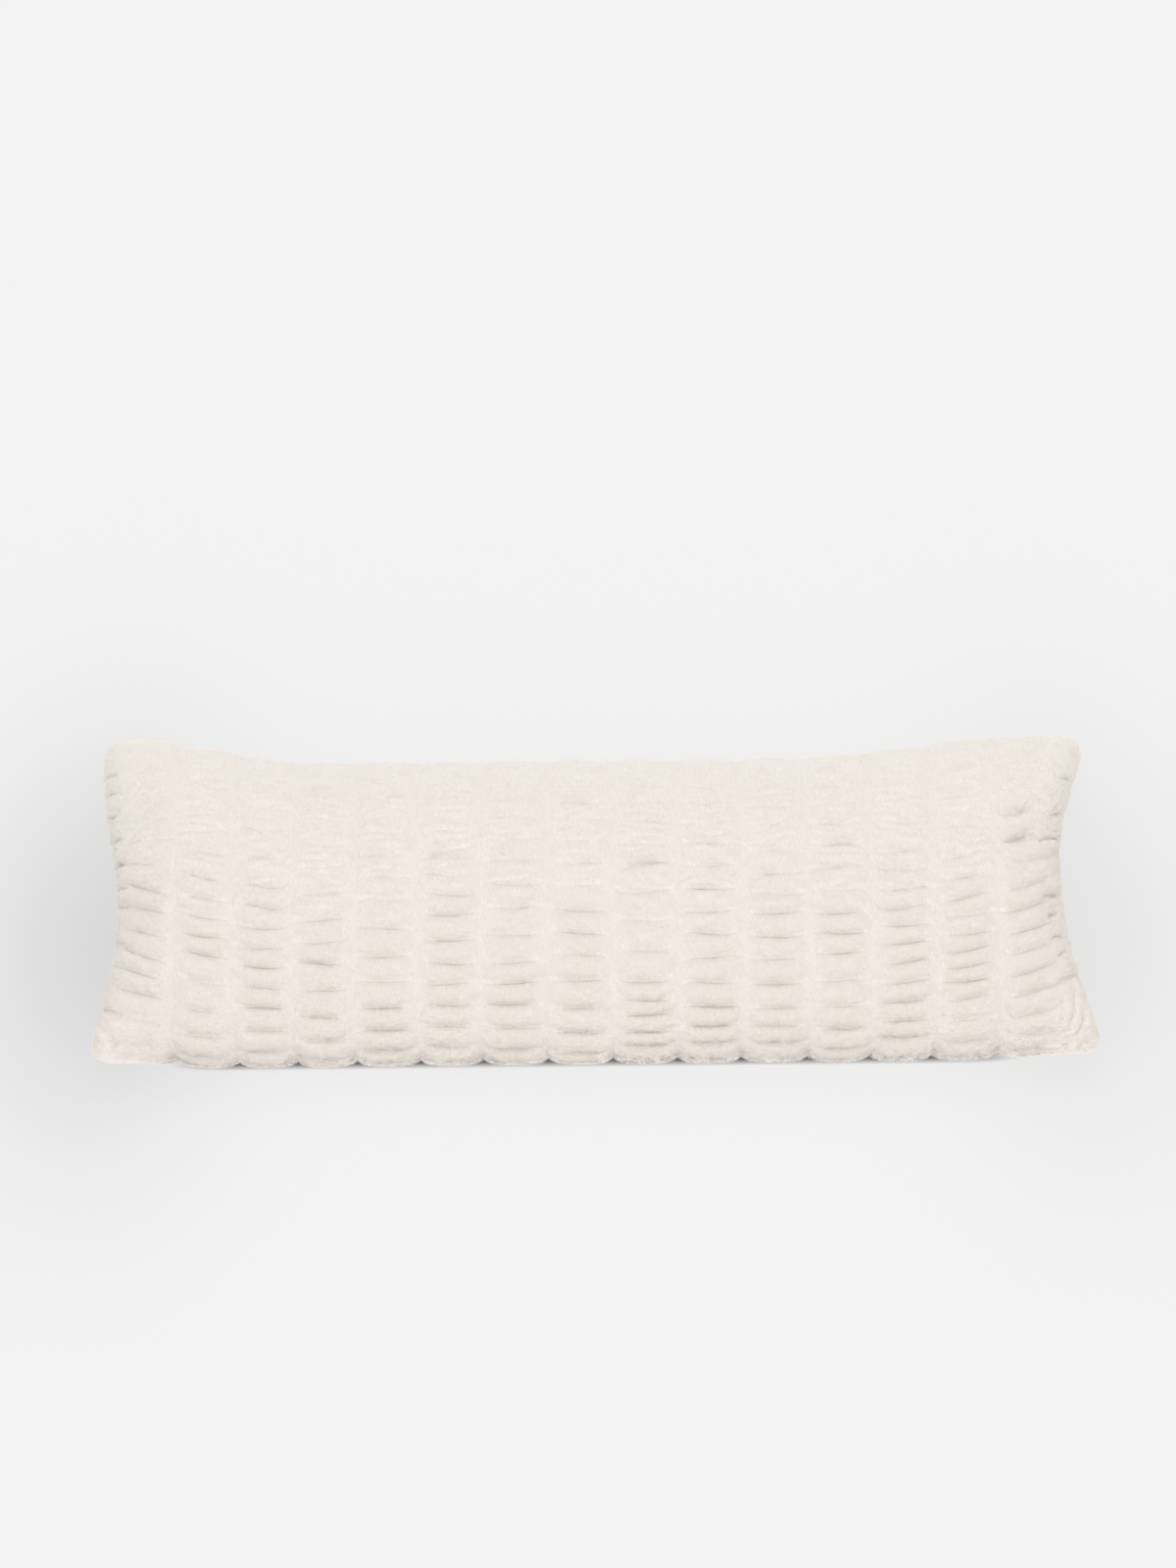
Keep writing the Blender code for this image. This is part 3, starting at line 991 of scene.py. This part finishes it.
# %% Blades from arrays
BLADES = 194000  # in each piece of pile
BLADE_LENGTH, BLADE_WIDTH = 0.0056, 0.0013
LENGTH_SPREAD = (0.75, 1.15)
LYING, STANDING = math.radians(81.0), math.radians(71.0)  # off the skin's normal
STANDING_SHARE, LEAN_SPREAD = 0.18, 0.05
COMB_TURN, STRAY, MOST_ROLL = 0.50, 0.28, 0.35
DOWN_THE_FAR_EDGE, DOWN_THE_ENDS = (0.08, 0.10), (0.48, 0.09)  # where it starts, and its reach
PINCH_SHORTENS = 0.75
SHOWN_ABOVE, OFF_FLOOR = 0.004, 0.0004
SHADE_FROM_SKIN = 0.85


def unit(vectors):
    return vectors / np.maximum(np.linalg.norm(vectors, axis=1, keepdims=True), NO_LENGTH)


def roots(rng, count):
    """Places spread evenly over the shown skin, as triangles and shares of their corners."""
    a, b, c = (skin.places[skin.corners[:, corner]] for corner in range(3))
    area = np.linalg.norm(np.cross(b - a, c - a), axis=1) / 2
    area[np.maximum(np.maximum(a[:, 2], b[:, 2]), c[:, 2]) < SHOWN_ABOVE] = 0.0
    reached = np.cumsum(area)
    marks = (np.arange(count) + rng.uniform(0.0, 1.0, count)) / count * reached[-1]
    triangle = np.minimum(np.searchsorted(reached, marks), len(area) - 1)
    first, second = rng.uniform(0.0, 1.0, (2, count))
    over = first + second > 1.0
    first, second = np.where(over, 1.0 - first, first), np.where(over, 1.0 - second, second)
    return triangle, np.stack([1.0 - first - second, first, second], axis=1)


def blades(seed, count):
    """Corner places and shading normals of a crop of blades."""
    rng = np.random.default_rng(seed)
    triangle, shares = roots(rng, count)

    def at_roots(values):
        return np.einsum("ij,ij...->i...", shares, values[skin.corners[triangle]])

    root, normal = at_roots(skin.places), unit(at_roots(skin.normals))
    combed = COMB_TURN * at_roots(skin.comb) + rng.normal(0.0, STRAY, (count, 3))
    combed[:, 1] += 1.0
    combed[:, 2] -= fade(root[:, 1], *DOWN_THE_FAR_EDGE) + fade(np.abs(root[:, 0]), *DOWN_THE_ENDS)
    combed = unit(combed - normal * np.einsum("ij,ij->i", combed, normal)[:, None])
    lean = np.where(rng.uniform(0.0, 1.0, count) < STANDING_SHARE, STANDING, LYING)
    lean += rng.normal(0.0, LEAN_SPREAD, count)
    way = normal * np.cos(lean)[:, None] + combed * np.sin(lean)[:, None]
    length = BLADE_LENGTH * rng.uniform(*LENGTH_SPREAD, count)
    length *= 1.0 - PINCH_SHORTENS * at_roots(skin.pinch)
    roll = rng.uniform(-MOST_ROLL, MOST_ROLL, count)[:, None]
    across = np.cross(combed, normal)
    across = across * np.cos(roll) + np.cross(way, across) * np.sin(roll)
    half = across * BLADE_WIDTH / 2
    tip = root + way * length[:, None]
    tip[:, 2] = np.maximum(tip[:, 2], OFF_FLOOR)
    corners = np.stack([root - half, root + half, tip], axis=1)
    face = unit(np.cross(corners[:, 1] - corners[:, 0], corners[:, 2] - corners[:, 0]))
    inward = np.einsum("ij,ij->i", face, normal) < 0.0
    corners[inward] = corners[inward][:, [1, 0, 2]]
    face[inward] *= -1.0
    shading = unit(normal * SHADE_FROM_SKIN + face * (1.0 - SHADE_FROM_SKIN))
    return corners.reshape(-1, 3), np.repeat(shading, 3, axis=0)


def pile_piece(name, seed, material):
    places, normals = blades(seed, BLADES)
    mesh = bpy.data.meshes.new(name)
    mesh.vertices.add(len(places))
    mesh.vertices.foreach_set("co", places.ravel())
    mesh.loops.add(len(places))
    mesh.loops.foreach_set("vertex_index", np.arange(len(places)))
    mesh.polygons.add(len(places) // 3)
    mesh.polygons.foreach_set("loop_start", np.arange(0, len(places), 3))
    mesh.update(calc_edges=True)
    mesh.shade_smooth()
    mesh.normals_split_custom_set_from_vertices(normals)
    mesh.materials.append(material)
    piece = bpy.data.objects.new(name, mesh)
    bpy.context.scene.collection.objects.link(piece)
    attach(piece, "root")
    return piece


# %% [markdown]
# The pile is dyed yarn, so neighbouring fibres differ a little. Four crops of blades share the skin,
# each in its own plain tint, from a pale ivory to a darker and warmer one.

# %% Grow the pile
Tint = namedtuple("Tint", "name seed colour")
TINTS = (
    Tint("pile_pale", 101, (0.945, 0.898, 0.848, 1.0)),
    Tint("pile_ivory", 102, (0.928, 0.872, 0.814, 1.0)),
    Tint("pile_warm", 103, (0.890, 0.828, 0.765, 1.0)),
    Tint("pile_rose", 104, (0.915, 0.858, 0.812, 1.0)),
)

for tint in TINTS:
    finish = Finish(bpy.data.materials.new(tint.name))
    finish.surface(Base_Color=tint.colour, Roughness=0.9, Sheen_Weight=0.3, Sheen_Roughness=0.45)
    pile_piece(tint.name, tint.seed, finish.owner)
print("pile", len(TINTS) * BLADES, "blades")

# %% [markdown]
# ## Studio
# The picture is nearly shadowless: a white surround lights the pillow from all round, a third less
# from beyond its two ends. One broad soft light hangs high towards the upper edge, and another stands
# low on the side of the lower edge. The floor glows, as a lit white sweep does. Its glow is dimmed
# beside the two ends, a painted soft grey shadow, and nearly cut under the pillow, a painted contact
# shadow, so that the gaps under the scalloped edge stay dark.

# %% Floor and light
FLOOR_HALF = 60.0
FLOOR_COLOUR, FLOOR_GLOW = 0.12, 0.76
# The UNDER sizes bound a painted contact shadow under the pillow, where the floor's glow is cut to a
# small share; UNDER_EDGE is its soft rim.
UNDER_X, UNDER_LOW, UNDER_HIGH = 0.430, -0.1855, 0.140
UNDER_EDGE, CONTACT_SHADOW_GLOW = 0.008, 0.10
PAST_THE_ENDS = 0.10  # past them the glow comes back at this share of the pace
# The BESIDE sizes place a painted soft shadow in the floor's glow beside each end, deeper on the left.
BESIDE_X, BESIDE_BELOW, BESIDE_REACH, BESIDE_SHADOW_DEPTH = 0.60, 0.045, 0.16, 0.17
BESIDE_SQUEEZE, SHADOW_DARKER_LEFT = 0.65, 0.55
AMBIENT, AMBIENT_AT_SIDES = 1.0, 0.65
Softbox = namedtuple("Softbox", "place power width height")
SOFTBOXES = (
    Softbox((0.1, 1.6, 3.2), 20.5, 3.0, 1.6),
    Softbox((0.0, -2.8, 1.3), 20.0, 3.0, 1.6),
)


def build_floor():
    bm = bmesh.new()
    bmesh.ops.create_grid(bm, x_segments=1, y_segments=1, size=FLOOR_HALF)
    mesh = bpy.data.meshes.new("floor")
    bm.to_mesh(mesh)
    bm.free()
    finish = Finish(bpy.data.materials.new("pale_floor"))
    grey = (FLOOR_COLOUR, FLOOR_COLOUR, FLOOR_COLOUR, 1.0)
    finish.surface(Base_Color=grey, Roughness=1.0, Specular_IOR_Level=0.0)
    place = finish.node("ShaderNodeTexCoord", output="Object")
    x, y = (finish.node("ShaderNodeSeparateXYZ", {"Vector": place}, output=way) for way in "XY")
    # The painted shadow beside the ends is deeper towards the left.
    to_left = 1.0 - SHADOW_DARKER_LEFT * x
    x = x.math("ABSOLUTE", x)
    # How far a point lies outside the rectangle of the painted contact shadow under the pillow.
    out_x = PAST_THE_ENDS * x.math("MAXIMUM", x - UNDER_X, 0.0)
    out_y = y.math("MAXIMUM", y.math("MAXIMUM", UNDER_LOW - y, y - UNDER_HIGH), 0.0)
    away = x.math("SQRT", out_x * out_x + out_y * out_y)
    # clear: full glow off the pillow, falling to a painted contact shadow under it.
    clear = x.math("MINIMUM", away * (1.0 / UNDER_EDGE) + CONTACT_SHADOW_GLOW, 1.0)
    # A painted soft shadow beside each end, dimming the glow there.
    beside_y = BESIDE_SQUEEZE * (y + BESIDE_BELOW)
    beside = (x - BESIDE_X) * (x - BESIDE_X) + beside_y * beside_y
    painted_end_shadow = x.math("EXPONENT", beside * (-1.0 / BESIDE_REACH**2)) * BESIDE_SHADOW_DEPTH * to_left
    glow = FLOOR_GLOW * clear * (1.0 - painted_end_shadow)
    finish.surface(Emission_Color=(1.0, 1.0, 1.0, 1.0), Emission_Strength=glow)
    mesh.materials.append(finish.owner)
    floor = bpy.data.objects.new("floor", mesh)
    bpy.context.scene.collection.objects.link(floor)


def build_light():
    sky = Finish(bpy.data.worlds.new("studio"), "Background")
    way = sky.node("ShaderNodeTexCoord", output="Generated")
    x = sky.node("ShaderNodeSeparateXYZ", {"Vector": way}, output="X")
    strength = AMBIENT - (AMBIENT - AMBIENT_AT_SIDES) * (x * x)
    bpy.context.scene.world = sky.surface(Color=(1.0, 1.0, 1.0, 1.0), Strength=strength)
    for softbox in SOFTBOXES:
        data = bpy.data.lights.new("softbox", "AREA")
        data.shape = "RECTANGLE"
        data.size, data.size_y = softbox.width, softbox.height
        data.energy = softbox.power
        light = bpy.data.objects.new("softbox", data)
        light.location = softbox.place
        light.rotation_euler = (-light.location).to_track_quat("-Z", "Y").to_euler()
        bpy.context.scene.collection.objects.link(light)


build_floor()
build_light()
bpy.context.scene.view_settings.view_transform = "Standard"
